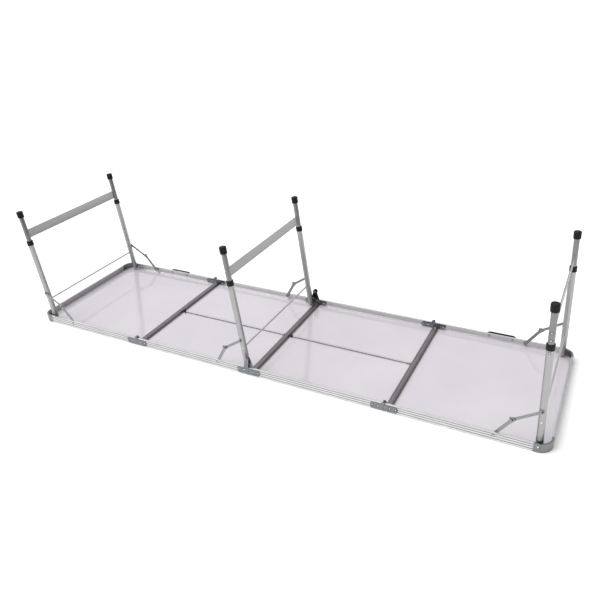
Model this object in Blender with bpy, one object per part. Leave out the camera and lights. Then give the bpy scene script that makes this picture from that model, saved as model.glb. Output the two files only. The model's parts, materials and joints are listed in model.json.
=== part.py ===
"""Four-section folding table with three folding, telescoping leg frames.

The table lies upside down on its work surface with its legs standing up, which is how it is set up and
packed away. X runs along the table, Y across it and Z up, in metres, and the origin is the middle of
the face it lies on. The near side is -Y and the far side is +Y. Folds and legs are called left, middle
and right along +X, and the four panels are numbered 1 to 4 along +X.
"""

import math

import bmesh
import bpy
from mathutils import Matrix, Vector

# Clearance between pieces that touch on the real table.
GAP = 0.0003

# Table
PANEL_LENGTH = 0.600
TABLE_WIDTH = 0.650
BOARD_THICKNESS = 0.006
CORNER_RADIUS = 0.048

# Side and end rails, an extruded channel that is open towards the board
RAIL_HEIGHT = 0.036
RAIL_DEPTH = 0.008
RAIL_WALL = 0.0016
LEDGE_DEPTH = 0.005
GROOVE_WIDTH = 0.0035
GROOVE_DEPTH = 0.0007
GROOVE_HEIGHTS = (0.33, 0.67)

# Cross bars and stiffener rods under the board
CROSS_BAR_WIDTH = 0.025
CROSS_BAR_HEIGHT = 0.012
CROSS_BAR_END_RADIUS = 0.009
CROSS_BAR_EDGE = 0.003
CROSS_BAR_SETBACK = 0.0015
STIFFENER_RADIUS = 0.0035
STIFFENER_CLEARANCE = 0.004

# Hinges at the folds
LEAF_LENGTH = 0.055
LEAF_HEIGHT = 0.021
LEAF_THICKNESS = 0.0015
LEAF_CHAMFER = 0.006
OUTER_LEAF_DROP = 0.006
LEAF_WEB_TRIM = 0.001
EAR_RADIUS = 0.007
EAR_ARC = (25, 205)
OUTER_PIVOT_RISE = 0.003
MIDDLE_EAR_FOOT = 0.024
OUTER_EAR_FOOT = 0.014
HINGE_PIN_RADIUS = 0.0025
HINGE_PIN_CLEARANCE = 0.0003
HINGE_HEAD_RADIUS = 0.0045
HINGE_HEAD_THICKNESS = 0.0012

# Legs. Lengths run along the leg from its pivot to the foot.
LEG_PIVOT_HEIGHT = 0.023
LEG_TUBE_RADIUS = 0.0125
LEG_TUBE_WALL = 0.0012
LEG_TUBE_LENGTH = 0.392
LEG_TUBE_HEEL = 0.006
LEG_ROD_HEIGHT = 0.095
LEG_ROD_RADIUS = 0.004
LEG_PIVOT_RADIUS = 0.0035
PIN_END_CLEARANCE = 0.0012
INNER_TUBE_CLEARANCE = 0.0005
INNER_TUBE_START = 0.120
INNER_TUBE_WALL = 0.0012
STRIP_WIDTH = 0.040
STRIP_THICKNESS = 0.002
STRIP_ABOVE_COLLAR = 0.0115
COLLAR_LENGTH = 0.023
COLLAR_OVERLAP = 0.0125
COLLAR_WALL = 0.0018
EXTENSION_SHOWN = 0.1435
CAP_LENGTH = 0.029
CAP_WALL = 0.0032
CAP_SOLE = 0.006

# Two-link folding braces between each leg tube and its side rail. Links are (upper, lower) lengths.
END_BRACE_LINKS = (0.108, 0.098)
MIDDLE_BRACE_LINKS = (0.098, 0.090)
BRACE_WIDTH = 0.015
BRACE_THICKNESS = 0.0021
BRACE_PIN_RADIUS = 0.003

# How far the outer legs' pivots are from the table's ends, and the middle leg's from the middle fold.
LEFT_LEG_INSET = 0.060
MIDDLE_LEG_INSET = 0.017
RIGHT_LEG_INSET = 0.044

# Each leg: how far it leans towards +X (degrees), the way it folds (+1 towards +X), how far up the leg its
# brace is fixed, and the brace's links.
LEGS = {
    "left": {"lean": -6.0, "folds": 1, "brace_height": 0.131, "links": END_BRACE_LINKS},
    "middle": {"lean": -6.2, "folds": -1, "brace_height": 0.133, "links": MIDDLE_BRACE_LINKS},
    "right": {"lean": -2.3, "folds": -1, "brace_height": 0.141, "links": END_BRACE_LINKS},
}

# Carrying handles on the far rail, with their middles this far outwards from the outer folds
HANDLE_FROM_FOLD = {"left": 0.242, "right": 0.300}
HANDLE_LENGTH = 0.124
HANDLE_REACH = 0.022
HANDLE_THICKNESS = 0.007
HANDLE_WIDTH = 0.012
HANDLE_HEIGHT = 0.023
HANDLE_BEND = 0.012
HANDLE_EDGE = 0.002

# Edges of the moulded collars and feet
COLLAR_EASE = 0.001
CAP_EASE = 0.003

# How finely round shapes are cut into flats
ROUND = 16
CORNER_STEPS = 8
CROSS_BAR_STEPS = 4
EAR_STEPS = 8
LINK_STEPS = 6
HANDLE_STEPS = 5
SMOOTH_ANGLE = 35

# How far a cutter runs past the face that it cuts, and the distance at which points are one point
CUTTER_OVER = 0.002
SAME_POINT = 1e-6

SIDES = {"near": -1, "far": 1}

# Values that follow from the ones above
HALF_WIDTH = TABLE_WIDTH / 2
TABLE_END = 2 * PANEL_LENGTH
FOLDS = {"left": -PANEL_LENGTH, "middle": 0.0, "right": PANEL_LENGTH}
LEG_PIVOTS = {
    "left": -TABLE_END + LEFT_LEG_INSET,
    "middle": -MIDDLE_LEG_INSET,
    "right": TABLE_END - RIGHT_LEG_INSET,
}
BOARD_BOTTOM = RAIL_WALL + GAP
BOARD_TOP = BOARD_BOTTOM + BOARD_THICKNESS
LEDGE_BOTTOM = BOARD_TOP + GAP
LEDGE_TOP = LEDGE_BOTTOM + RAIL_WALL
RAIL_SETBACK = LEAF_THICKNESS + 2 * GAP
LIP_EDGE = HALF_WIDTH - RAIL_DEPTH
WEB_INSIDE = HALF_WIDTH - RAIL_WALL
LEAF_BOTTOM = LEDGE_TOP + GAP
LEAF_TOP = LEAF_BOTTOM + LEAF_HEIGHT
OUTER_PIVOT_HEIGHT = max(RAIL_HEIGHT, LEAF_TOP + EAR_RADIUS - OUTER_PIVOT_RISE + GAP) + OUTER_PIVOT_RISE
MIDDLE_PIVOT_HEIGHT = 2 * OUTER_PIVOT_HEIGHT
PIN_END = WEB_INSIDE - PIN_END_CLEARANCE
LOWER_LINK_OUTSIDE = LIP_EDGE - GAP
UPPER_LINK_OUTSIDE = LOWER_LINK_OUTSIDE - BRACE_THICKNESS - GAP
LEG_OUTSIDE = UPPER_LINK_OUTSIDE - BRACE_THICKNESS - GAP
LEG_Y = LEG_OUTSIDE - LEG_TUBE_RADIUS
INNER_TUBE_RADIUS = LEG_TUBE_RADIUS - LEG_TUBE_WALL - INNER_TUBE_CLEARANCE
COLLAR_START = LEG_TUBE_LENGTH - COLLAR_OVERLAP
COLLAR_END = COLLAR_START + COLLAR_LENGTH
STRIP_START = COLLAR_END + STRIP_ABOVE_COLLAR
FOOT_END = COLLAR_END + EXTENSION_SHOWN
# A round piece's flats are nearer its axis than its corners, by this share.
FLAT = math.cos(math.pi / ROUND)


def clear_scene():
    for thing in list(bpy.data.objects):
        bpy.data.objects.remove(thing, do_unlink=True)


def material(name, colour, roughness, metallic):
    made = bpy.data.materials.new(name)
    made.use_nodes = True
    shader = made.node_tree.nodes["Principled BSDF"]
    shader.inputs["Base Color"].default_value = (*colour, 1.0)
    shader.inputs["Roughness"].default_value = roughness
    shader.inputs["Metallic"].default_value = metallic
    return made


def place(name, mesh, look, location=(0, 0, 0), turn=0.0):
    """A named object with its own material, turned about Y by `turn` radians."""
    colour, roughness, metallic = look
    mesh.name = name
    mesh.materials.clear()
    mesh.materials.append(material(name, colour, roughness, metallic))
    thing = bpy.data.objects.new(name, mesh)
    thing.location = location
    thing.rotation_euler = (0.0, turn, 0.0)
    bpy.context.scene.collection.objects.link(thing)
    return thing


def finish_mesh(bm, smooth=False):
    bmesh.ops.recalc_face_normals(bm, faces=bm.faces)
    mesh = bpy.data.meshes.new("shape")
    bm.to_mesh(mesh)
    bm.free()
    if smooth:
        mesh.shade_smooth()
        mesh.set_sharp_from_angle(angle=math.radians(SMOOTH_ANGLE))
    return mesh


def prism(outline, low, high, axis="Z"):
    """A closed outline pushed along an axis. The outline is (x, y) for Z and (x, z) for Y."""
    bm = bmesh.new()

    def corner(point, level):
        a, b = point
        return (a, b, level) if axis == "Z" else (a, level, b)

    bottom = [bm.verts.new(corner(p, low)) for p in outline]
    top = [bm.verts.new(corner(p, high)) for p in outline]
    bm.faces.new(bottom)
    bm.faces.new(top)
    for i in range(len(outline)):
        j = (i + 1) % len(outline)
        bm.faces.new((bottom[i], bottom[j], top[j], top[i]))
    return finish_mesh(bm)


def cylinder(radius, low, high, axis="Y", centre=(0.0, 0.0)):
    """A solid round bar. `centre` is (x, z) for an axis along Y and (x, y) for one along Z."""
    outline = [
        (centre[0] + radius * math.cos(t), centre[1] + radius * math.sin(t))
        for t in (2 * math.pi * (i + 0.5) / ROUND for i in range(ROUND))
    ]
    return prism(outline, low, high, axis)


def turned(profile, y):
    """A closed profile of (radius, height) points turned about the line along Z at this y."""
    bm = bmesh.new()
    rings = []
    for i in range(ROUND):
        t = 2 * math.pi * (i + 0.5) / ROUND
        ring = []
        for radius, height in profile:
            spot = (radius * math.cos(t), y + radius * math.sin(t), height)
            ring.append(bm.verts.new(spot))
        rings.append(ring)
    for i in range(ROUND):
        here, there = rings[i], rings[(i + 1) % ROUND]
        for k in range(len(profile)):
            m = (k + 1) % len(profile)
            bm.faces.new((here[k], there[k], there[m], here[m]))
    bmesh.ops.remove_doubles(bm, verts=bm.verts, dist=SAME_POINT)
    return finish_mesh(bm, smooth=True)


def tube(radius, wall, low, high, y, closed_end):
    """A round tube along Z with one closed end, "low" or "high", and the other end open."""
    inner = radius - wall
    if closed_end == "low":
        closed, floor, mouth = low, low + wall, high
    else:
        closed, floor, mouth = high, high - wall, low
    profile = [(0.0, closed), (radius, closed), (radius, mouth), (inner, mouth), (inner, floor), (0.0, floor)]
    bm = bmesh.new()
    points = [bm.verts.new((r, 0.0, z)) for r, z in profile]
    edges = [bm.edges.new((points[i], points[i + 1])) for i in range(len(points) - 1)]
    bmesh.ops.spin(
        bm,
        geom=points + edges,
        cent=(0, 0, 0),
        axis=(0, 0, 1),
        angle=2 * math.pi,
        steps=ROUND,
        use_duplicate=False,
    )
    bmesh.ops.remove_doubles(bm, verts=bm.verts, dist=SAME_POINT)
    half_step = Matrix.Rotation(math.pi / ROUND, 4, "Z")
    bmesh.ops.transform(bm, matrix=Matrix.Translation((0, y, 0)) @ half_step, verts=bm.verts)
    return finish_mesh(bm, smooth=True)


def box(low, high):
    outline = [(low[0], low[1]), (high[0], low[1]), (high[0], high[1]), (low[0], high[1])]
    return prism(outline, low[2], high[2])


def fused(meshes):
    """One closed mesh from several that overlap, by Boolean union."""
    helpers = [bpy.data.objects.new("helper", mesh) for mesh in meshes]
    for helper in helpers:
        bpy.context.scene.collection.objects.link(helper)
    body = helpers[0]
    for other in helpers[1:]:
        cut = body.modifiers.new("join", "BOOLEAN")
        cut.operation = "UNION"
        cut.solver = "EXACT"
        cut.object = other
    return applied(body, helpers)


def drilled(mesh, cutters):
    """A mesh with every cutter taken out of it."""
    helpers = [bpy.data.objects.new("helper", one) for one in [mesh, *cutters]]
    for helper in helpers:
        bpy.context.scene.collection.objects.link(helper)
    for cutter in helpers[1:]:
        cut = helpers[0].modifiers.new("drill", "BOOLEAN")
        cut.operation = "DIFFERENCE"
        cut.solver = "EXACT"
        cut.object = cutter
    return applied(helpers[0], helpers)


def applied(body, helpers):
    depsgraph = bpy.context.evaluated_depsgraph_get()
    mesh = bpy.data.meshes.new_from_object(body.evaluated_get(depsgraph))
    for helper in helpers:
        bpy.data.objects.remove(helper, do_unlink=True)
    return mesh


def arc(centre, radius, start, end, steps):
    """Points on a circle from one angle to another, in degrees."""
    angles = [math.radians(start + (end - start) * i / steps) for i in range(steps + 1)]
    return [(centre[0] + radius * math.cos(t), centre[1] + radius * math.sin(t)) for t in angles]


# Rails -------------------------------------------------------------------------------------------


def rail_profile():
    """The rail's section as (distance in from the outer face, height) points."""
    points = [(0.0, 0.0)]
    for share in GROOVE_HEIGHTS:
        middle = share * RAIL_HEIGHT
        points += [
            (0.0, middle - GROOVE_WIDTH / 2),
            (GROOVE_DEPTH, middle - GROOVE_WIDTH / 2 + GROOVE_DEPTH),
            (GROOVE_DEPTH, middle + GROOVE_WIDTH / 2 - GROOVE_DEPTH),
            (0.0, middle + GROOVE_WIDTH / 2),
        ]
    points += [
        (0.0, RAIL_HEIGHT),
        (RAIL_DEPTH, RAIL_HEIGHT),
        (RAIL_DEPTH, RAIL_HEIGHT - RAIL_WALL),
        (RAIL_WALL, RAIL_HEIGHT - RAIL_WALL),
        (RAIL_WALL, LEDGE_TOP),
        (LEDGE_DEPTH, LEDGE_TOP),
        (LEDGE_DEPTH, LEDGE_BOTTOM),
        (RAIL_WALL, LEDGE_BOTTOM),
        (RAIL_WALL, RAIL_WALL),
        (RAIL_DEPTH, RAIL_WALL),
        (RAIL_DEPTH, 0.0),
    ]
    return points


def swept(stations, profile):
    """A section carried along a level path. A station is ((x, y), the direction to its inner side)."""
    bm = bmesh.new()
    rings = []
    for (x, y), (across_x, across_y) in stations:
        rings.append([bm.verts.new((x + across_x * n, y + across_y * n, z)) for n, z in profile])
    bm.faces.new(rings[0])
    bm.faces.new(rings[-1])
    for here, there in zip(rings, rings[1:]):
        for i in range(len(profile)):
            j = (i + 1) % len(profile)
            bm.faces.new((here[i], here[j], there[j], there[i]))
    return finish_mesh(bm, smooth=True)


def side_rail(start, end, side):
    y = side * HALF_WIDTH
    return swept([((start, y), (0, -side)), ((end, y), (0, -side))], rail_profile())


def end_frame(direction):
    """The near rail, end rail and far rail of an end panel, in one bent length with round corners."""
    fold_end = direction * (PANEL_LENGTH + RAIL_SETBACK)
    centre_x = TABLE_END - CORNER_RADIUS
    centre_y = HALF_WIDTH - CORNER_RADIUS
    stations = [((fold_end, -HALF_WIDTH), (0, 1))]
    for side in (-1, 1):
        for i in range(CORNER_STEPS + 1):
            t = math.radians(90 * i / CORNER_STEPS)
            along, across = (math.sin(t), math.cos(t)) if side < 0 else (math.cos(t), math.sin(t))
            x = direction * (centre_x + CORNER_RADIUS * along)
            y = side * (centre_y + CORNER_RADIUS * across)
            stations.append(((x, y), (-direction * along, -side * across)))
    stations.append(((fold_end, HALF_WIDTH), (0, -1)))
    return swept(stations, rail_profile())


# Boards, cross bars and stiffeners -----------------------------------------------------------------


def board(number):
    """A flat board held between the rails' lower lip and ledge, with round corners on an end panel."""
    low = (number - 3) * PANEL_LENGTH + GAP
    high = (number - 2) * PANEL_LENGTH - GAP
    reach = WEB_INSIDE - GAP
    end_inset = RAIL_WALL + GAP
    radius = CORNER_RADIUS - end_inset
    if number == 1:
        low = -TABLE_END + end_inset
        outline = [(high, -reach), (high, reach)]
        outline += arc((low + radius, reach - radius), radius, 90, 180, CORNER_STEPS)
        outline += arc((low + radius, -reach + radius), radius, 180, 270, CORNER_STEPS)
    elif number == 4:
        high = TABLE_END - end_inset
        outline = [(low, reach), (low, -reach)]
        outline += arc((high - radius, -reach + radius), radius, -90, 0, CORNER_STEPS)
        outline += arc((high - radius, reach - radius), radius, 0, 90, CORNER_STEPS)
    else:
        outline = [(low, -reach), (high, -reach), (high, reach), (low, reach)]
    return prism(outline, BOARD_BOTTOM, BOARD_TOP)


def cross_bar(fold_x):
    """A flat bar across the table on the +X side of a fold, with round ends and eased upper edges."""
    low_x = fold_x + CROSS_BAR_SETBACK
    high_x = low_x + CROSS_BAR_WIDTH
    reach = LIP_EDGE - LEAF_THICKNESS - 4 * GAP
    radius = CROSS_BAR_END_RADIUS
    outline = arc((high_x - radius, reach - radius), radius, 0, 90, CROSS_BAR_STEPS)
    outline += arc((low_x + radius, reach - radius), radius, 90, 180, CROSS_BAR_STEPS)
    outline += arc((low_x + radius, -reach + radius), radius, 180, 270, CROSS_BAR_STEPS)
    outline += arc((high_x - radius, -reach + radius), radius, 270, 360, CROSS_BAR_STEPS)
    bottom = BOARD_TOP + GAP
    bm = bmesh.new()
    bm.from_mesh(prism(outline, bottom, bottom + CROSS_BAR_HEIGHT))
    top_edges = [e for e in bm.edges if all(v.co.z > bottom + CROSS_BAR_HEIGHT / 2 for v in e.verts)]
    bmesh.ops.bevel(bm, geom=top_edges, offset=CROSS_BAR_EDGE, segments=2, affect="EDGES", profile=0.5)
    return finish_mesh(bm, smooth=True)


def stiffener(low_x, high_x):
    middle = BOARD_TOP + GAP + STIFFENER_RADIUS
    angles = [2 * math.pi * (i + 0.5) / ROUND for i in range(ROUND)]
    bm = bmesh.new()
    ends = []
    for x in (low_x, high_x):
        ring = [(x, STIFFENER_RADIUS * math.cos(t), middle + STIFFENER_RADIUS * math.sin(t)) for t in angles]
        ends.append([bm.verts.new(spot) for spot in ring])
        bm.faces.new(ends[-1])
    for i in range(ROUND):
        j = (i + 1) % ROUND
        bm.faces.new((ends[0][i], ends[0][j], ends[1][j], ends[1][i]))
    return finish_mesh(bm, smooth=True)


# Hinges --------------------------------------------------------------------------------------------


def leaf_plate(towards, bottom, foot, pivot_height):
    """A leaf's plate in the XZ plane with its fold at x = 0. `towards` is the leaf's side of the fold."""
    far_end = LEAF_LENGTH
    outline = [
        (GAP, bottom),
        (far_end - LEAF_CHAMFER, bottom),
        (far_end, bottom + LEAF_CHAMFER),
        (far_end, LEAF_TOP - LEAF_CHAMFER),
        (far_end - LEAF_CHAMFER, LEAF_TOP),
    ]
    if foot:
        outline += [(foot, LEAF_TOP)]
        outline += arc((0.0, pivot_height), EAR_RADIUS, *EAR_ARC, EAR_STEPS)
    outline += [(GAP, LEAF_TOP + (GAP if foot else 0.0))]
    return [(towards * x, z) for x, z in outline]


def leg_pin_holes(fold, side, towards, lane):
    """Cutters for the leg pivot pins that pass through a leaf's inner plate."""
    low, high = sorted((side * (lane[0] - CUTTER_OVER), side * (lane[1] + CUTTER_OVER)))
    radius = LEG_PIVOT_RADIUS + GAP
    places = [pivot - FOLDS[fold] for pivot in LEG_PIVOTS.values()]
    reached = [x for x in places if 0 < towards * x < LEAF_LENGTH + radius]
    return [cylinder(radius, low, high, "Y", (x, LEG_PIVOT_HEIGHT)) for x in reached]


def hinge_leaf(fold, side, towards):
    """Two plates on the faces of a rail, joined across its end. The -X leaf carries its ear outside the
    rail and the +X leaf carries its ear and the pivot pin inside it."""
    pivot_height = MIDDLE_PIVOT_HEIGHT if fold == "middle" else OUTER_PIVOT_HEIGHT
    foot = MIDDLE_EAR_FOOT if fold == "middle" else OUTER_EAR_FOOT
    ear_outside = towards < 0
    outside = (HALF_WIDTH + GAP, HALF_WIDTH + GAP + LEAF_THICKNESS)
    inside = (LIP_EDGE - GAP - LEAF_THICKNESS, LIP_EDGE - GAP)
    outer_bottom = LEAF_BOTTOM - OUTER_LEAF_DROP

    def slab(outline, lane):
        low, high = sorted(side * y for y in lane)
        return prism(outline, low, high, axis="Y")

    def bar(radius, lane):
        low, high = sorted(side * y for y in lane)
        return cylinder(radius, low, high, "Y", (0.0, pivot_height))

    outer = slab(leaf_plate(towards, outer_bottom, foot if ear_outside else 0, pivot_height), outside)
    inner = slab(leaf_plate(towards, LEAF_BOTTOM, 0 if ear_outside else foot, pivot_height), inside)
    holes = leg_pin_holes(fold, side, towards, inside)
    if holes:
        inner = drilled(inner, holes)
    web_x = sorted((towards * GAP, towards * (GAP + LEAF_THICKNESS)))
    web_y = sorted((side * (inside[0] + LEAF_THICKNESS / 2), side * (outside[0] + LEAF_THICKNESS / 2)))
    web_z = (LEAF_BOTTOM + LEAF_WEB_TRIM, LEAF_TOP - LEAF_WEB_TRIM)
    web = box((web_x[0], web_y[0], web_z[0]), (web_x[1], web_y[1], web_z[1]))
    if ear_outside:
        through = (outside[0] - CUTTER_OVER, outside[1] + CUTTER_OVER)
        hole = bar(HINGE_PIN_RADIUS + HINGE_PIN_CLEARANCE, through)
        return fused([drilled(outer, [hole]), inner, web])
    pin = bar(HINGE_PIN_RADIUS, (inside[0] + LEAF_THICKNESS / 2, outside[1] + GAP + HINGE_HEAD_THICKNESS / 2))
    head = bar(HINGE_HEAD_RADIUS, (outside[1] + GAP, outside[1] + GAP + HINGE_HEAD_THICKNESS))
    return fused([inner, outer, web, pin, head])


# Legs ----------------------------------------------------------------------------------------------


def outer_leg_frame():
    """Two open tubes joined by a round rod, with a pivot pin out of each tube's heel."""
    shapes = []
    wall_middle = (LEG_TUBE_RADIUS - LEG_TUBE_WALL / 2) * FLAT
    for side in SIDES.values():
        y = side * LEG_Y
        shapes.append(tube(LEG_TUBE_RADIUS, LEG_TUBE_WALL, -LEG_TUBE_HEEL, LEG_TUBE_LENGTH, y, "low"))
    for side in SIDES.values():
        low, high = sorted((side * (LEG_Y + wall_middle), side * PIN_END))
        shapes.append(cylinder(LEG_PIVOT_RADIUS, low, high, "Y", (0.0, 0.0)))
    rod_end = LEG_Y - wall_middle
    shapes.append(cylinder(LEG_ROD_RADIUS, -rod_end, rod_end, "Y", (0.0, LEG_ROD_HEIGHT)))
    return fused(shapes)


def inner_leg_frame():
    """Two tubes that slide in the outer ones, joined by a flat strip just past the collars."""
    shapes = []
    for side in SIDES.values():
        y = side * LEG_Y
        end = FOOT_END - CAP_SOLE - GAP
        shapes.append(tube(INNER_TUBE_RADIUS, INNER_TUBE_WALL, INNER_TUBE_START, end, y, "high"))
    strip_end = LEG_Y - (INNER_TUBE_RADIUS - INNER_TUBE_WALL / 2) * FLAT
    half = STRIP_THICKNESS / 2
    strip = box((-half, -strip_end, STRIP_START), (half, strip_end, STRIP_START + STRIP_WIDTH))
    return fused([*shapes, strip])


def collar(side):
    """A moulded sleeve over the outer tube's end, stepped in to guide the inner tube."""
    wide = LEG_TUBE_RADIUS + GAP
    narrow = INNER_TUBE_RADIUS + GAP
    outside = wide + COLLAR_WALL
    profile = [
        (wide, COLLAR_START),
        (outside - COLLAR_EASE, COLLAR_START),
        (outside, COLLAR_START + COLLAR_EASE),
        (outside, COLLAR_END - COLLAR_EASE),
        (outside - COLLAR_EASE, COLLAR_END),
        (narrow, COLLAR_END),
        (narrow, LEG_TUBE_LENGTH + GAP),
        (wide, LEG_TUBE_LENGTH + GAP),
    ]
    return turned(profile, side * LEG_Y)


def foot_cap(side):
    """A moulded cup over the end of the inner tube."""
    inside = INNER_TUBE_RADIUS + GAP
    outside = inside + CAP_WALL
    start = FOOT_END - CAP_LENGTH
    profile = [
        (inside, start),
        (outside, start),
        (outside, FOOT_END - CAP_EASE),
        (outside - CAP_EASE, FOOT_END),
        (0.0, FOOT_END),
        (0.0, FOOT_END - CAP_SOLE),
        (inside, FOOT_END - CAP_SOLE),
    ]
    return turned(profile, side * LEG_Y)


# Braces --------------------------------------------------------------------------------------------


def brace_link(length, outside, side, pin_to):
    """A flat bar along Z from its pivot at the origin, with round ends and, at the origin, a pin that
    reaches out to `pin_to` where one is given."""
    radius = BRACE_WIDTH / 2
    outline = arc((0.0, length), radius, 0, 180, LINK_STEPS)
    outline += arc((0.0, 0.0), radius, 180, 360, LINK_STEPS)
    low, high = sorted((side * (outside - BRACE_THICKNESS), side * outside))
    bar = prism(outline, low, high, axis="Y")
    if pin_to is None:
        return bar
    low, high = sorted((side * (outside - BRACE_THICKNESS / 2), side * pin_to))
    return fused([bar, cylinder(BRACE_PIN_RADIUS, low, high)])


def brace_points(which):
    """Where a leg's brace has its upper pivot, rail pivot and elbow, as (x, z)."""
    leg = LEGS[which]
    opening = math.radians(90 - leg["folds"] * leg["lean"])
    height = leg["brace_height"]
    upper = Vector((height * math.cos(opening), height * math.sin(opening)))
    upper_link, lower_link = leg["links"]
    lower = Vector((height + upper_link - lower_link, 0.0))
    span = lower - upper
    reach = span.length
    along = (upper_link**2 - lower_link**2 + reach**2) / (2 * reach)
    off = math.sqrt(upper_link**2 - along**2)
    outwards = Vector((-span.y, span.x)) / reach
    elbow = upper + span * (along / reach) + outwards * off
    pivot_x = LEG_PIVOTS[which]
    return [(pivot_x + leg["folds"] * p.x, LEG_PIVOT_HEIGHT + p.y) for p in (upper, lower, elbow)]


def turn_towards(start, end):
    """The turn about Y that points a link's own Z from one (x, z) point to another."""
    return math.atan2(end[0] - start[0], end[1] - start[1])


# Handles -------------------------------------------------------------------------------------------


def handle(centre_x):
    """A moulded loop on the far rail: a foot, a bend, the grip, a bend and a foot."""
    back = HALF_WIDTH + GAP
    inner = HANDLE_THICKNESS / 2
    grip_y = back + HANDLE_REACH - inner
    half = HANDLE_LENGTH / 2 - inner
    path = [((-half, back), (1.0, 0.0))]
    for i in range(HANDLE_STEPS + 1):
        t = math.radians(90 * i / HANDLE_STEPS)
        spot = (-half + HANDLE_BEND * (1 - math.cos(t)), grip_y - HANDLE_BEND * (1 - math.sin(t)))
        path.append((spot, (math.cos(t), -math.sin(t))))
    path += [((-x, y), (-nx, ny)) for (x, y), (nx, ny) in reversed(path)]
    edge = HANDLE_EDGE
    low = HANDLE_HEIGHT - HANDLE_WIDTH / 2
    high = HANDLE_HEIGHT + HANDLE_WIDTH / 2
    profile = [
        (-inner + edge, low),
        (inner - edge, low),
        (inner, low + edge),
        (inner, high - edge),
        (inner - edge, high),
        (-inner + edge, high),
        (-inner, high - edge),
        (-inner, low + edge),
    ]
    mesh = swept(path, profile)
    mesh.transform(Matrix.Translation((centre_x, 0, 0)))
    return mesh


# Looks: colour, roughness, metallic
BOARD_LOOK = ((0.70, 0.67, 0.71), 0.25, 0.0)
RAIL_LOOK = ((0.72, 0.72, 0.72), 0.32, 1.0)
BAR_LOOK = ((0.28, 0.265, 0.265), 0.40, 0.9)
ZINC_LOOK = ((0.40, 0.43, 0.46), 0.35, 1.0)
TUBE_LOOK = ((0.66, 0.66, 0.66), 0.28, 1.0)
STRIP_LOOK = ((0.50, 0.50, 0.50), 0.35, 1.0)
BLACK_LOOK = ((0.012, 0.012, 0.013), 0.45, 0.0)


def build_panels():
    for number in (1, 2, 3, 4):
        place(f"top_board_{number}", board(number), BOARD_LOOK)
    place("end_frame_left", end_frame(-1), RAIL_LOOK)
    place("end_frame_right", end_frame(1), RAIL_LOOK)
    for number in (2, 3):
        start = (number - 3) * PANEL_LENGTH + RAIL_SETBACK
        end = (number - 2) * PANEL_LENGTH - RAIL_SETBACK
        for name, side in SIDES.items():
            place(f"side_rail_{number}_{name}", side_rail(start, end, side), RAIL_LOOK)
    for fold, x in FOLDS.items():
        place(f"cross_bar_{fold}", cross_bar(x), BAR_LOOK)
    for number in (2, 3):
        bar_edge = (number - 3) * PANEL_LENGTH + CROSS_BAR_SETBACK + CROSS_BAR_WIDTH
        low = bar_edge + STIFFENER_CLEARANCE
        high = (number - 2) * PANEL_LENGTH - STIFFENER_CLEARANCE
        place(f"stiffener_rod_{number}", stiffener(low, high), RAIL_LOOK)


def build_hinges():
    for fold, x in FOLDS.items():
        for name, side in SIDES.items():
            for number, towards in ((1, -1), (2, 1)):
                mesh = hinge_leaf(fold, side, towards)
                place(f"hinge_{fold}_{name}_leaf_{number}", mesh, ZINC_LOOK, (x, 0, 0))


def build_legs():
    for which, leg in LEGS.items():
        pivot = (LEG_PIVOTS[which], 0, LEG_PIVOT_HEIGHT)
        lean = math.radians(leg["lean"])
        place(f"leg_tubes_{which}", outer_leg_frame(), TUBE_LOOK, pivot, lean)
        place(f"leg_extension_{which}", inner_leg_frame(), STRIP_LOOK, pivot, lean)
        for name, side in SIDES.items():
            place(f"leg_collar_{which}_{name}", collar(side), BLACK_LOOK, pivot, lean)
            place(f"foot_cap_{which}_{name}", foot_cap(side), BLACK_LOOK, pivot, lean)


def build_braces():
    for which in LEGS:
        upper, lower, elbow = brace_points(which)
        upper_link, lower_link = LEGS[which]["links"]
        for name, side in SIDES.items():
            top = brace_link(upper_link, UPPER_LINK_OUTSIDE, side, None)
            bottom = brace_link(lower_link, LOWER_LINK_OUTSIDE, side, PIN_END)
            at_upper, at_lower = (upper[0], 0, upper[1]), (lower[0], 0, lower[1])
            place(f"brace_upper_{which}_{name}", top, STRIP_LOOK, at_upper, turn_towards(upper, elbow))
            place(f"brace_lower_{which}_{name}", bottom, STRIP_LOOK, at_lower, turn_towards(lower, elbow))


def build_handles():
    for which, outwards in HANDLE_FROM_FOLD.items():
        centre_x = FOLDS[which] + math.copysign(outwards, FOLDS[which])
        place(f"carry_handle_{which}", handle(centre_x), BLACK_LOOK)


clear_scene()
build_panels()
build_hinges()
build_legs()
build_braces()
build_handles()
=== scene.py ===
"""The looks of a folding table that lies on its work surface with its legs up.

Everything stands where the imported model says: X along the table, Y across it, Z up, in metres. The near
side is -Y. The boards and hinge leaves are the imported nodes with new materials. Every other piece is built
here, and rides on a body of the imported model.
"""

import json
import math

import bmesh
import bpy
from mathutils import Matrix, Vector


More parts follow.
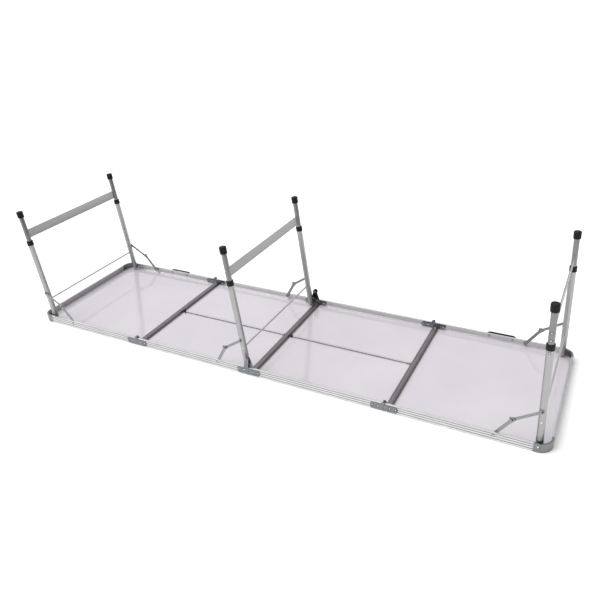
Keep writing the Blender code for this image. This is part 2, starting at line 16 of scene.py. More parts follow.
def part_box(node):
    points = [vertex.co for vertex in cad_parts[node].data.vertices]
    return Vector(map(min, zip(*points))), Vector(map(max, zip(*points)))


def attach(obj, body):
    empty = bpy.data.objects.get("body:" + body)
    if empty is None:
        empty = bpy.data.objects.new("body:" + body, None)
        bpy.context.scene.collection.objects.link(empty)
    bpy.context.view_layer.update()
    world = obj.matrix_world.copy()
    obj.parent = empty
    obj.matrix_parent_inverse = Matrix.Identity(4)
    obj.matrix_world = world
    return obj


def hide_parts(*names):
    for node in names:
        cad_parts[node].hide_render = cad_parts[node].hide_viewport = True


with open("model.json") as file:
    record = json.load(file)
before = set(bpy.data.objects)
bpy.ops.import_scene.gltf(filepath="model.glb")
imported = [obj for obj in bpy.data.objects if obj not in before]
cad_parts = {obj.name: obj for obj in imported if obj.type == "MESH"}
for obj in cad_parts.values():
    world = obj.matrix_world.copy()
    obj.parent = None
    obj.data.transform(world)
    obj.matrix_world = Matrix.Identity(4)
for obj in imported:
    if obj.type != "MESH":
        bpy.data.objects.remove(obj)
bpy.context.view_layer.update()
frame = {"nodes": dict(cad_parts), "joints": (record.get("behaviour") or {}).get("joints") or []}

SIDES = {"near": -1, "far": 1}
WHICH = ("left", "middle", "right")
PANEL_OF_FOLD = {
    "left": ("panel_1", "panel_2"),
    "middle": ("panel_2", "panel_3"),
    "right": ("panel_3", "panel_4"),
}
PANEL_OF_LEG = {"left": "panel_1", "middle": "panel_2", "right": "panel_4"}
JOINTS = {joint["name"]: joint for joint in frame["joints"]}

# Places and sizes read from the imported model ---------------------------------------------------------


def spot(joint):
    return Vector(JOINTS[joint]["pos_m"])


FOLD_X = {which: spot(f"fold_{which}").x for which in WHICH}
RAIL_LOW, RAIL_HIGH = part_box("side_rail_2_far")
HALF_WIDTH = RAIL_HIGH.y
RAIL_HEIGHT = RAIL_HIGH.z
LIP_EDGE = RAIL_LOW.y
BOARD_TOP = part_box("top_board_2")[1].z
TABLE_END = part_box("end_frame_right")[1].x
PANEL_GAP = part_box("side_rail_3_far")[0].x

# Sizes of the details
GAP = 0.0003
RAIL_WALL = 0.0016
LEDGE_DEPTH = 0.005
CORNER_RADIUS = 0.048
CORNER_OVERLAP = 0.012
CORNER_PROUD = 0.0006
GROOVE_WIDTH = 0.0034
GROOVE_DEPTH = 0.0009
TUBE_RADIUS = 0.0125
TUBE_WALL = 0.0012
INNER_RADIUS = 0.0108
LINK_RADIUS = 0.0075
LINK_WAIST = 0.0055
LINK_THICKNESS = 0.0021
STRIP_WIDTH = 0.040
STRIP_ABOVE_COLLAR = 0.0115
COLLAR_RADIUS = 0.0146
ELBOW_RADIUS = 0.0092
ROD_RADIUS = 0.004
ROD_HEIGHT = 0.095
ROUND = 48
# The dark ring under a rivet head is a painted shadow line: its width as a share of the head's, and its
# height
SHADOW_RING_SHARE = 1.55
SHADOW_RING_HEIGHT = 0.0006
HANDLE_RISE = 0.003
GROOVE_SHARES = (0.28, 0.57, 0.84)
BAR_END_RADIUS = 0.009
BAR_RIVET_FROM_END = 0.014
BAR_RIVET_SINK = 0.0004
LEAF_THICKNESS = 0.0015
LEAF_RIVET_SHARES = (0.42, 0.86)
COVER_RADIUS = 0.0106
COVER_LIFT = 0.0006
LEG_PIN_RADIUS = 0.0034
BUSH_RADIUS = 0.0062
BUSH_START = 0.0010
BUSH_END = 0.0034
STRIP_RIVET_RISES = (0.003, 0.031)
CAP_WALL = 0.0034
CAP_FLOOR = 0.006
LOWER_LINK_WAIST = 0.0064
BRACE_PIN_RADIUS = 0.0029
HANDLE_THICKNESS = 0.007
HANDLE_BEND = 0.012
HANDLE_FOOT_HALF = (0.009, 0.0072)
HANDLE_FOOT_THICKNESS = 0.002
HANDLE_RIVET_INSET = 0.012

# The elbow stop, measured from the elbow: across the link and along it
STOP_INSIDE = 0.0108
STOP_OUTSIDE = 0.0118
STOP_TOP = 0.0045
STOP_FOOT = -0.0030

# Rivet heads and buttons, as (radius, height)
BAR_RIVET = (0.0030, 0.0011)
LEAF_RIVET = (0.0030, 0.0012)
INNER_LEAF_RIVET = (0.0026, 0.0002)
STRIP_RIVET = (0.0030, 0.0011)
LOCK_BUTTON = (0.0030, 0.0014)
BRACE_RIVET = (0.0034, 0.0002)
LEG_RAIL_RIVET = (0.0040, 0.0015)
BRACE_RAIL_RIVET = (0.0034, 0.0013)
HANDLE_RIVET = (0.0034, 0.0016)

# Mesh building: widths of eased edges, the angle that stays sharp, and when two points are one
FINE_EDGE = 0.0002
SOFT_EDGE = 0.0003
COVER_EDGE = 0.0005
SHARP_ANGLE = math.radians(32)
SAME_POINT = 1e-6
HEAD_SEGMENTS = 20

# Floor, sky, sun and camera. The sky's stops run from the horizon up, and its strength from -X to +X.
FLOOR_REACH = 90.0
FLOOR_DROP = 0.0004
SKY_STOPS = ((0.0, (0.58, 0.58, 0.59)), (0.25, (0.62, 0.62, 0.63)), (0.7, (1.15, 1.15, 1.16)))
SKY_STRENGTH_LEFT = 1.30
SKY_STRENGTH_RIGHT = 0.50
SUN_STRENGTH = 1.9
SUN_SPREAD = math.radians(50)
SUN_DIRECTION = (0.62, 0.42, -1.0)
CAMERA_PLACE = (1.2384, -2.0986, 1.5215)
CAMERA_ANGLES = (-28.744, 28.708, -3.330)
CAMERA_LENS = 37.325

# Materials -------------------------------------------------------------------------------------------


def node(tree, kind, settings=None, **inputs):
    """A shader node with its settings and inputs. A socket given as an input is linked."""
    made = tree.nodes.new(kind)
    for key, value in (settings or {}).items():
        setattr(made, key, value)
    for key, value in inputs.items():
        socket = made.inputs[key.replace("_", " ")]
        if isinstance(value, bpy.types.NodeSocket):
            tree.links.new(value, socket)
        else:
            socket.default_value = value
    return made


def principled(name, roughness=0.4, metallic=0.0, coat=0.0, coat_roughness=0.1, anisotropic=0.0):
    """A new material with its tree, its shader and its object coordinates."""
    made = bpy.data.materials.new(name)
    made.use_nodes = True
    tree = made.node_tree
    shader = tree.nodes["Principled BSDF"]
    shader.inputs["Roughness"].default_value = roughness
    shader.inputs["Metallic"].default_value = metallic
    shader.inputs["Coat Weight"].default_value = coat
    shader.inputs["Coat Roughness"].default_value = coat_roughness
    shader.inputs["Anisotropic"].default_value = anisotropic
    place = tree.nodes.new("ShaderNodeTexCoord").outputs["Object"]
    return made, tree, shader, place


def noise(tree, vector, scale, detail=3.0, roughness=0.55):
    made = node(tree, "ShaderNodeTexNoise", Vector=vector, Scale=scale, Detail=detail, Roughness=roughness)
    return made.outputs[0]


def spread(tree, value, low, high, start=0.35, end=0.65):
    """A 0 to 1 value carried to low..high between start and end."""
    return node(
        tree, "ShaderNodeMapRange", Value=value, From_Min=start, From_Max=end, To_Min=low, To_Max=high
    ).outputs[0]


def shades(tree, value, *stops):
    """A colour from a value, through (position, colour) stops."""
    made = node(tree, "ShaderNodeValToRGB", Fac=value)
    ramp = made.color_ramp
    while len(ramp.elements) < len(stops):
        ramp.elements.new(0.5)
    for element, (position, colour) in zip(ramp.elements, stops):
        element.position = position
        element.color = (*colour, 1.0)
    return made.outputs[0]


def total(tree, *values):
    """The sum of several values."""
    result = values[0]
    for value in values[1:]:
        made = node(tree, "ShaderNodeMath", {"operation": "ADD"})
        for socket, one in zip(made.inputs, (result, value)):
            tree.links.new(one, socket)
        result = made.outputs[0]
    return result


def tint(colour, share):
    return tuple(min(1.0, channel * share) for channel in colour)


def groove_shade(tree, place, across, face):
    """Painted shade on a rail's outer face: 1 on the flats, less in the grooves and at the bottom edge."""
    parts = node(tree, "ShaderNodeSeparateXYZ", Vector=place)
    outwards = node(tree, "ShaderNodeMath", {"operation": "ABSOLUTE"}, Value=parts.outputs[across]).outputs[0]
    on_face = spread(tree, outwards, 0.0, 1.0, face - 0.0016, face - 0.0012)
    share = spread(tree, parts.outputs[2], 0.0, 1.0, 0.0, RAIL_HEIGHT)
    half = GROOVE_WIDTH / 2 / RAIL_HEIGHT
    # Painted shade: darker at the rail's bottom edge and in each groove.
    stops = [(0.0, (0.62,) * 3), (0.05, (1.0,) * 3)]
    for middle in GROOVE_SHARES:
        stops += [(middle - half * 1.25, (1.0,) * 3), (middle - half * 0.8, (0.22,) * 3)]
        stops += [(middle + half * 0.6, (0.34,) * 3), (middle + half * 1.2, (0.92,) * 3)]
    lines = shades(tree, share, *stops)
    return node(tree, "ShaderNodeMixRGB", Fac=on_face, Color1=(1, 1, 1, 1), Color2=lines).outputs[0]


def brushed_metal(name, colour, roughness, grain, bump=0.12, contrast=0.07, grooves=None):
    """Drawn or extruded metal. `grain` is the noise scale along each axis, low along the drawing lines."""
    made, tree, shader, place = principled(name, roughness, 1.0, anisotropic=0.25)
    stretched = node(tree, "ShaderNodeMapping", Vector=place, Scale=grain).outputs[0]
    lines = noise(tree, stretched, 1.0, 5.0, 0.7)
    clouds = noise(tree, place, 14.0, 4.0)
    specks = noise(tree, place, 420.0, 2.0)
    stops = ((0.30, tint(colour, 1 - contrast)), (0.52, colour), (0.72, tint(colour, 1 + contrast)))
    broad = shades(tree, clouds, *stops)
    fine = shades(tree, lines, (0.25, (0.86,) * 3), (0.55, (1.0,) * 3), (0.8, (1.0,) * 3))
    mixed = node(tree, "ShaderNodeMixRGB", {"blend_type": "MULTIPLY"}, Fac=0.8, Color1=broad, Color2=fine)
    # Painted shade in the grooves of a rail's outer face, multiplied into the colour.
    if grooves:
        dark = groove_shade(tree, place, *grooves)
        unshaded = mixed.outputs[0]
        mixed = node(tree, "ShaderNodeMixRGB", {"blend_type": "MULTIPLY"}, Fac=1.0, Color1=unshaded, Color2=dark)
    tree.links.new(mixed.outputs[0], shader.inputs["Base Color"])
    rough = total(
        tree,
        spread(tree, lines, roughness - 0.05, roughness + 0.09, 0.3, 0.7),
        spread(tree, clouds, -0.03, 0.04),
        spread(tree, specks, 0.0, 0.03),
    )
    tree.links.new(rough, shader.inputs["Roughness"])
    surface = node(tree, "ShaderNodeBump", Strength=bump, Distance=0.0003, Height=lines)
    tree.links.new(surface.outputs[0], shader.inputs["Normal"])
    return made


def plated_steel(name, colour, roughness):
    """Zinc-plated pressed steel, with a faint mottled bloom and small scuffs."""
    made, tree, shader, place = principled(name, roughness, 1.0)
    bloom = node(tree, "ShaderNodeTexVoronoi", Vector=place, Scale=260.0).outputs["Color"]
    grey = node(tree, "ShaderNodeRGBToBW", Color=bloom).outputs[0]
    clouds = noise(tree, place, 60.0, 5.0)
    stretched = node(tree, "ShaderNodeMapping", Vector=place, Scale=(90, 500, 900)).outputs[0]
    scuffs = noise(tree, stretched, 1.0, 3.0)
    value = total(tree, spread(tree, grey, 0.0, 0.35, 0.0, 1.0), spread(tree, clouds, 0.1, 0.65))
    base = shades(tree, value, (0.1, tint(colour, 0.80)), (0.5, colour), (0.95, tint(colour, 1.12)))
    tree.links.new(base, shader.inputs["Base Color"])
    dull = spread(tree, clouds, roughness - 0.05, roughness + 0.10)
    rough = total(tree, dull, spread(tree, scuffs, 0.0, 0.08))
    tree.links.new(rough, shader.inputs["Roughness"])
    surface = node(tree, "ShaderNodeBump", Strength=0.10, Distance=0.0002, Height=scuffs)
    tree.links.new(surface.outputs[0], shader.inputs["Normal"])
    return made


def moulded_plastic(name, colour, roughness, grain=900.0, bump=0.25):
    """Moulded plastic with a fine spark-eroded grain and slightly polished high spots."""
    made, tree, shader, place = principled(name, roughness)
    shader.inputs["Specular IOR Level"].default_value = 0.25
    pebbles = noise(tree, place, grain, 2.0)
    clouds = noise(tree, place, 40.0, 3.0)
    base = shades(tree, clouds, (0.3, tint(colour, 0.8)), (0.7, tint(colour, 1.35)))
    tree.links.new(base, shader.inputs["Base Color"])
    grained = spread(tree, pebbles, roughness - 0.05, roughness + 0.07)
    rough = total(tree, grained, spread(tree, clouds, -0.04, 0.05))
    tree.links.new(rough, shader.inputs["Roughness"])
    surface = node(tree, "ShaderNodeBump", Strength=bump, Distance=0.0002, Height=pebbles)
    tree.links.new(surface.outputs[0], shader.inputs["Normal"])
    return made


def board_material():
    """Thin fibreboard: a glossy pale film below, a fine-grained white work surface and bare edges."""
    made, tree, shader, place = principled("board", 0.2, coat=0.6, coat_roughness=0.05)
    normal = tree.nodes.new("ShaderNodeTexCoord").outputs["Normal"]
    facing = node(tree, "ShaderNodeSeparateXYZ", Vector=normal).outputs[2]
    is_under = spread(tree, facing, 0.0, 1.0, 0.4, 0.6)
    is_work = spread(tree, facing, 1.0, 0.0, -0.6, -0.4)
    waves = noise(tree, place, 3.0, 3.0)
    peel = noise(tree, place, 85.0, 2.0)
    pebbles = noise(tree, place, 1500.0, 2.0)
    fibres = noise(tree, place, 700.0, 5.0, 0.8)
    film = shades(tree, waves, (0.3, (0.490, 0.457, 0.494)), (0.7, (0.530, 0.495, 0.532)))
    work = shades(tree, pebbles, (0.3, (0.74, 0.74, 0.73)), (0.7, (0.82, 0.82, 0.81)))
    edge = shades(tree, fibres, (0.3, (0.20, 0.13, 0.075)), (0.7, (0.42, 0.30, 0.19)))
    lower = node(tree, "ShaderNodeMixRGB", Fac=is_work, Color1=edge, Color2=work).outputs[0]
    colour = node(tree, "ShaderNodeMixRGB", Fac=is_under, Color1=lower, Color2=film).outputs[0]
    tree.links.new(colour, shader.inputs["Base Color"])
    film_rough = spread(tree, waves, 0.08, 0.14)
    other_rough = spread(tree, is_work, 0.85, 0.42, 0.0, 1.0)
    chosen = node(tree, "ShaderNodeMixRGB", Fac=is_under, Color1=other_rough, Color2=film_rough).outputs[0]
    tree.links.new(chosen, shader.inputs["Roughness"])
    height = node(tree, "ShaderNodeMixRGB", Fac=is_under, Color1=pebbles, Color2=peel).outputs[0]
    surface = node(tree, "ShaderNodeBump", Strength=0.05, Distance=0.0004, Height=height)
    tree.links.new(surface.outputs[0], shader.inputs["Normal"])
    return made


ALONG_X = (3.0, 900.0, 900.0)
ALONG_Y = (900.0, 3.0, 900.0)
ALONG_Z = (900.0, 900.0, 3.0)

BOARD = board_material()
# The rails' colours carry painted shade in the grooves of their outer faces.
RAIL_X = brushed_metal("rail_along", (0.66, 0.662, 0.66), 0.32, ALONG_X, grooves=(1, HALF_WIDTH))
RAIL_Y = brushed_metal("rail_across", (0.56, 0.565, 0.57), 0.30, ALONG_Y, grooves=(0, TABLE_END))
CORNER = brushed_metal("corner_metal", (0.23, 0.235, 0.235), 0.24, (60.0, 60.0, 60.0), 0.05)
BAR = brushed_metal("cross_bar", (0.25, 0.232, 0.24), 0.34, ALONG_Y)
ROD = brushed_metal("rod", (0.36, 0.36, 0.365), 0.42, ALONG_X)
TUBE = brushed_metal("leg_tube", (0.41, 0.41, 0.405), 0.38, ALONG_Z)
INNER = brushed_metal("inner_tube", (0.26, 0.26, 0.26), 0.30, ALONG_Z)
CROSS_ROD = brushed_metal("cross_rod", (0.56, 0.56, 0.56), 0.34, ALONG_Y)
STRIP = brushed_metal("leg_strip", (0.36, 0.36, 0.36), 0.38, ALONG_Y)
LINK = brushed_metal("brace", (0.30, 0.30, 0.30), 0.36, ALONG_Z)
ZINC = plated_steel("hinge_steel", (0.215, 0.228, 0.242), 0.30)
RIVET = plated_steel("rivet", (0.72, 0.72, 0.73), 0.24)
# Dark steel for a stiffener clip, and painted shade: the shadow rings under rivet heads and the low brace
# rivets
DARK = plated_steel("dark_clip_and_painted_shade", (0.03, 0.03, 0.032), 0.38)
BLACK = moulded_plastic("black_plastic", (0.0045, 0.0045, 0.005), 0.46)
RUBBER = moulded_plastic("foot_rubber", (0.0035, 0.0035, 0.0035), 0.55, 600.0, 0.35)

# Mesh building ---------------------------------------------------------------------------------------


def piece(name, bm, look, body, matrix=Matrix.Identity(4), bevel=0.0, replaced=()):
    """Turns a bmesh into a named piece that rides on a body."""
    bmesh.ops.remove_doubles(bm, verts=bm.verts, dist=SAME_POINT)
    bmesh.ops.recalc_face_normals(bm, faces=bm.faces)
    mesh = bpy.data.meshes.new(name)
    bm.to_mesh(mesh)
    bm.free()
    mesh.shade_smooth()
    mesh.set_sharp_from_angle(angle=SHARP_ANGLE)
    mesh.materials.append(look)
    made = bpy.data.objects.new(name, mesh)
    made.matrix_world = matrix
    bpy.context.scene.collection.objects.link(made)
    if bevel:
        soften(made, bevel)
    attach(made, body)
    if replaced:
        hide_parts(*replaced)
    return made


def soften(thing, width, segments=2):
    """Small rounded edges that catch the light."""
    edge = thing.modifiers.new("edges", "BEVEL")
    edge.width = width
    edge.segments = segments
    edge.limit_method = "ANGLE"
    edge.angle_limit = SHARP_ANGLE
    edge.harden_normals = True


def joined(*shapes):
    """One bmesh from several."""
    result = shapes[0]
    for shape in shapes[1:]:
        mesh = bpy.data.meshes.new("part")
        shape.to_mesh(mesh)
        shape.free()
        result.from_mesh(mesh)
        bpy.data.meshes.remove(mesh)
    return result


def moved(bm, matrix):
    bmesh.ops.transform(bm, matrix=matrix, verts=bm.verts)
    return bm


def rounded(points, radius, steps=3):
    """A closed outline with each corner turned into a short curve."""
    result = []
    for i, point in enumerate(points):
        here = Vector(point)
        back = Vector(points[i - 1]) - here
        ahead = Vector(points[(i + 1) % len(points)]) - here
        cut = min(radius, 0.45 * back.length, 0.45 * ahead.length)
        start = here + back.normalized() * cut
        end = here + ahead.normalized() * cut
        for k in range(steps + 1):
            t = k / steps
            result.append(start * (1 - t) ** 2 + here * 2 * t * (1 - t) + end * t * t)
    return result


def skinned(rings, capped=True):
    """A bmesh through rings of points, all with the same count, closed at both ends."""
    bm = bmesh.new()
    made = [[bm.verts.new(point) for point in ring] for ring in rings]
    for here, there in zip(made, made[1:]):
        for i in range(len(here)):
            j = (i + 1) % len(here)
            bm.faces.new((here[i], here[j], there[j], there[i]))
    if capped:
        bm.faces.new(made[0])
        bm.faces.new(list(reversed(made[-1])))
    return bm


def swept(stations, profile):
    """A (distance in, height) section carried along ((x, y), direction inwards) stations."""
    rings = []
    for (x, y), (across_x, across_y) in stations:
        rings.append([(x + across_x * n, y + across_y * n, z) for n, z in profile])
    return skinned(rings)


def prism_y(outline, low, high):
    """An (x, z) outline pushed along Y."""
    return skinned([[(x, y, z) for x, z in outline] for y in (low, high)])


def turned(profile, closed=False, segments=ROUND):
    """(radius, height) points turned about Z."""
    bm = bmesh.new()
    points = [bm.verts.new((radius, 0.0, height)) for radius, height in profile]
    edges = [bm.edges.new(pair) for pair in zip(points, points[1:])]
    if closed:
        edges.append(bm.edges.new((points[-1], points[0])))
    bmesh.ops.spin(
        bm, geom=points + edges, cent=(0, 0, 0), axis=(0, 0, 1), angle=2 * math.pi, steps=segments
    )
    bmesh.ops.remove_doubles(bm, verts=bm.verts, dist=SAME_POINT)
    return bm


def bar_between(start, end, radius, segments=24, ease=0.0006):
    """A round bar with eased ends from one point to another."""
    axis = Vector(end) - Vector(start)
    length = axis.length
    profile = [(0, 0), (radius - ease, 0), (radius, ease), (radius, length - ease), (radius - ease, length)]
    bm = turned(profile + [(0, length)], segments=segments)
    turn = axis.to_track_quat("Z", "Y").to_matrix().to_4x4()
    return moved(bm, Matrix.Translation(start) @ turn)


def head(at, towards, radius, height):
    """A domed rivet head that stands on a face at a point and looks towards a direction."""
    steps = 6
    profile = [(radius, -0.0004)]
    for i in range(steps + 1):
        t = math.radians(90 * i / steps)
        profile.append((radius * math.cos(t), height * math.sin(t)))
    profile[-1] = (0.0, height)
    bm = turned(profile, segments=HEAD_SEGMENTS)
    bmesh.ops.contextual_create(bm, geom=[e for e in bm.edges if e.is_boundary])
    turn = Vector(towards).to_track_quat("Z", "Y").to_matrix().to_4x4()
    return moved(bm, Matrix.Translation(at) @ turn)


def rivets(name, heads, body, matrix=Matrix.Identity(4), look=RIVET):
    """A group of rivet heads, each (place, direction, radius, height), on one body."""
    return piece(name, joined(*[head(*one) for one in heads]), look, body, matrix)


def shadow_ringed_rivets(name, heads, body, matrix=Matrix.Identity(4)):
    """Rivet heads, each on a thin dark ring a little wider than itself: a painted shadow line round the head.
    """
    shadow_rings = [(at, towards, radius * SHADOW_RING_SHARE, SHADOW_RING_HEIGHT) for at, towards, radius, _ in heads]
    rivets(f"{name}_rings", shadow_rings, body, matrix, DARK)
    return rivets(name, heads, body, matrix)


def arc(centre, radius, start, end, steps):
    """Points on a circle from one angle to another, in degrees."""
    angles = [math.radians(start + (end - start) * i / steps) for i in range(steps + 1)]
    return [(centre[0] + radius * math.cos(t), centre[1] + radius * math.sin(t)) for t in angles]


# Rails and corners -------------------------------------------------------------------------------------


def rail_profile(grooved=True, proud=0.0):
    """The extrusion's section: an outer wall with grooves, a top flange, the ledge and the lower lip."""
    ledge = BOARD_TOP + GAP
    points = [(-proud, 0.0)]
    if grooved:
        for share in GROOVE_SHARES:
            middle = share * RAIL_HEIGHT
            half = GROOVE_WIDTH / 2
            points += [
                (0.0, middle - half),
                (GROOVE_DEPTH, middle - half + 0.0004),
                (GROOVE_DEPTH, middle + half - 0.0004),
                (0.0, middle + half),
            ]
    points += [
        (-proud, RAIL_HEIGHT),
        (HALF_WIDTH - LIP_EDGE, RAIL_HEIGHT),
        (HALF_WIDTH - LIP_EDGE, RAIL_HEIGHT - RAIL_WALL),
        (RAIL_WALL, RAIL_HEIGHT - RAIL_WALL),
        (RAIL_WALL, ledge + RAIL_WALL),
        (LEDGE_DEPTH, ledge + RAIL_WALL),
        (LEDGE_DEPTH, ledge),
        (RAIL_WALL, ledge),
        (RAIL_WALL, RAIL_WALL),
        (HALF_WIDTH - LIP_EDGE, RAIL_WALL),
        (HALF_WIDTH - LIP_EDGE, 0.0),
    ]
    return rounded(points, 0.0006, 2)


def build_rails():
    profile = rail_profile()
    corner_profile = rail_profile(grooved=False, proud=CORNER_PROUD)
    for number in (2, 3):
        for name, side in SIDES.items():
            low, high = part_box(f"side_rail_{number}_{name}")
            stations = [((x, side * HALF_WIDTH), (0, -side)) for x in (low.x, high.x)]
            piece(
                f"rail_{number}_{name}",
                swept(stations, profile),
                RAIL_X,
                f"panel_{number}",
                replaced=[f"side_rail_{number}_{name}"],
            )
    seam = TABLE_END - CORNER_RADIUS - CORNER_OVERLAP
    end_reach = HALF_WIDTH - CORNER_RADIUS - CORNER_OVERLAP
    for which, along, body in (("left", -1, "panel_1"), ("right", 1, "panel_4")):
        fold_end = FOLD_X[which] + along * PANEL_GAP
        for name, side in SIDES.items():
            stations = [((x, side * HALF_WIDTH), (0, -side)) for x in (fold_end, along * (seam - GAP))]
            piece(f"rail_{which}_{name}", swept(stations, profile), RAIL_X, body)
            centre = (along * (TABLE_END - CORNER_RADIUS), side * (HALF_WIDTH - CORNER_RADIUS))
            path = [((along * seam, side * HALF_WIDTH), (0, -side))]
            steps = 20
            for i in range(steps + 1):
                t = math.radians(90 * i / steps)
                out = (along * math.sin(t), side * math.cos(t))
                at = (centre[0] + CORNER_RADIUS * out[0], centre[1] + CORNER_RADIUS * out[1])
                path.append((at, (-out[0], -out[1])))
            path.append(((along * TABLE_END, side * end_reach), (-along, 0)))
            piece(f"corner_{which}_{name}", swept(path, corner_profile), CORNER, body)
        stations = [((along * TABLE_END, y), (-along, 0)) for y in (-end_reach + GAP, end_reach - GAP)]
        end = swept(stations, profile)
        piece(f"rail_{which}_end", end, RAIL_Y, body, replaced=[f"end_frame_{which}"])


# Boards, cross bars and stiffeners -----------------------------------------------------------------


def build_boards():
    for number in (1, 2, 3, 4):
        board = frame["nodes"][f"top_board_{number}"]
        board.data.materials.clear()
        board.data.materials.append(BOARD)


def cross_bar(low, high):
    """A pressed bar with a rolled, grooved top and ends that are round seen from above."""
    half = (high.x - low.x) / 2
    height = high.z - low.z
    end_radius = BAR_END_RADIUS
    body = half - 0.0034
    flange = 0.0022
    section = [(-half, 0.0), (-half, height - 0.0018), (-half + 0.0018, height)]
    section += [(-half + 0.0045, height), (-half + 0.0052, height - 0.0016)]
    section += [(-half + 0.0070, height - 0.0016), (-half + 0.0077, height - 0.0004)]
    section += [(body - 0.0066, height - 0.0004), (body - 0.0059, height - 0.0016)]
    section += [(body - 0.0041, height - 0.0016), (body - 0.0034, height), (body - 0.0018, height)]
    section += [(body, height - 0.0018), (body, flange), (half, flange), (half, 0.0)]
    section = rounded(section, 0.0012, 3)
    middle = (low.x + high.x) / 2
    rings = []
    steps = 10
    for end in (-1, 1):
        for i in range(steps + 1):
            t = math.radians(90 * i / steps)
            inwards = end_radius * (1 - math.cos(t))
            narrowed = (half - end_radius + end_radius * math.sin(t)) / half
            lowered = 1 - 0.22 * (1 - math.sin(t)) ** 2
            y = (low.y + inwards) if end < 0 else (high.y - inwards)
            rings.append((y, narrowed, lowered))
    rings.sort()
    return skinned([[(middle + x * w, y, low.z + z * h) for x, z in section] for y, w, h in rings])


def build_cross_bars():
    for which in WHICH:
        body = PANEL_OF_FOLD[which][1]
        low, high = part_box(f"cross_bar_{which}")
        piece(f"bar_{which}", cross_bar(low, high), BAR, body, replaced=[f"cross_bar_{which}"])
        heads = []
        for side in SIDES.values():
            at = Vector(((low.x + high.x) / 2, side * (high.y - BAR_RIVET_FROM_END), high.z - BAR_RIVET_SINK))
            heads.append((at, (0, 0, 1), *BAR_RIVET))
        rivets(f"bar_rivets_{which}", heads, body)


def rod_clip(x, towards, rod_top, foot, with_lug):
    """A saddle over a stiffener's end, with or without a lug that stands up beside the cross bar."""
    width = 0.008
    outer = [(-0.0095, foot), (-0.0095, foot + 0.0012), (-0.0052, foot + 0.0012)]
    outer += [(-0.0046, rod_top - 0.0016)]
    outer += arc((0.0, rod_top - 0.0035), 0.0047, 165, 15, 8)
    outer += [(0.0046, rod_top - 0.0016), (0.0052, foot + 0.0012), (0.0095, foot + 0.0012), (0.0095, foot)]
    inner = [(0.0040, foot), (0.0037, rod_top - 0.0035)]
    inner += arc((0.0, rod_top - 0.0035), 0.0037, 10, 170, 8)
    inner += [(-0.0037, rod_top - 0.0035), (-0.0040, foot)]
    outline = outer + inner
    low, high = sorted((x, x + towards * width))
    band = skinned([[(at, y, z) for y, z in outline] for at in (low, high)])
    if not with_lug:
        return band
    lug_low, lug_high = sorted((x + towards * 0.0006, x - towards * 0.0018))
    top = rod_top + 0.0085
    lug_outline = [(-0.0046, foot), (0.0046, foot), (0.0046, top - 0.0046)]
    lug_outline += arc((0.0, top - 0.0046), 0.0046, 0, 180, 8)
    lug = skinned([[(at, y, z) for y, z in lug_outline] for at in (lug_low, lug_high)])
    return joined(band, lug)


def build_stiffeners():
    for number in (2, 3):
        low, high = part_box(f"stiffener_rod_{number}")
        radius = (high.z - low.z) / 2
        height = low.z + radius
        body = f"panel_{number}"
        rod = bar_between((low.x, 0, height), (high.x, 0, height), radius, 32, 0.001)
        piece(f"rod_{number}", rod, ROD, body, replaced=[f"stiffener_rod_{number}"])
        foot = BOARD_TOP + GAP
        first = rod_clip(low.x + 0.001, 1, high.z, foot, True)
        last = rod_clip(high.x - 0.001, -1, high.z, foot, False)
        piece(f"rod_clip_{number}_start", first, DARK, body, bevel=FINE_EDGE)
        piece(f"rod_clip_{number}_end", last, ROD, body, bevel=FINE_EDGE)
        heads = []
        for x in (low.x + 0.005, high.x - 0.005):
            for y in (-0.0075, 0.0075):
                heads.append(((x, y, foot + 0.0012), (0, 0, 1), 0.0015, 0.0007))
        rivets(f"rod_clip_screws_{number}", heads, body)


# Hinges --------------------------------------------------------------------------------------------


def hinge_cover(pivot, direction, y_low, y_high):
    """A black moulded cap over a hinge ear, from just above the rail to round the pivot."""
    foot = RAIL_HEIGHT + COVER_LIFT
    radius = COVER_RADIUS
    outline = [(direction * 0.0238, foot)]
    if direction > 0:
        outline += arc((0.0, pivot.z), radius, 20, 200, 14)
    else:
        outline += arc((0.0, pivot.z), radius, 160, -20, 14)
    outline += [(direction * -0.0006, foot)]
    bm = prism_y(outline, y_low, y_high)
    return moved(bm, Matrix.Translation((pivot.x, 0, 0)))


def build_hinges():
    for which in WHICH:
        pivot = spot(f"fold_{which}")
        for name, side in SIDES.items():
            for number, towards in ((1, -1), (2, 1)):
                body = PANEL_OF_FOLD[which][number - 1]
                leaf = frame["nodes"][f"hinge_{which}_{name}_leaf_{number}"]
                leaf.data.materials.clear()
                leaf.data.materials.append(ZINC)
                soften(leaf, SOFT_EDGE)
                low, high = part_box(leaf.name)
                reach = high.x - FOLD_X[which] if towards > 0 else FOLD_X[which] - low.x
                outside = HALF_WIDTH + GAP + LEAF_THICKNESS
                inside = LIP_EDGE - GAP - LEAF_THICKNESS
                outer_heads, inner_heads = [], []
                for share in LEAF_RIVET_SHARES:
                    x = FOLD_X[which] + towards * reach * share
                    outer_heads.append(((x, side * outside, 0.0195), (0, side, 0), *LEAF_RIVET))
                    inner_heads.append(((x, side * inside, 0.0205), (0, -side, 0), *INNER_LEAF_RIVET))
                shadow_ringed_rivets(f"hinge_rivets_{which}_{name}_{number}", outer_heads, body)
                rivets(f"hinge_inner_rivets_{which}_{name}_{number}", inner_heads, body)
    pivot = spot("fold_middle")
    outer = hinge_cover(pivot, -1, HALF_WIDTH + 0.0002, HALF_WIDTH + 0.0026)
    inner = hinge_cover(pivot, 1, LIP_EDGE - 0.0025, LIP_EDGE + 0.0004)
    piece("hinge_cover_far_1", outer, BLACK, "panel_2", bevel=COVER_EDGE)
    piece("hinge_cover_far_2", inner, BLACK, "panel_3", bevel=COVER_EDGE)
    heads = [((pivot.x, LIP_EDGE - 0.0025, pivot.z), (0, -1, 0), 0.0036, 0.0002)]
    rivets("hinge_cover_rivet", heads, "panel_3")


# Legs ------------------------------------------------------------------------------------------------


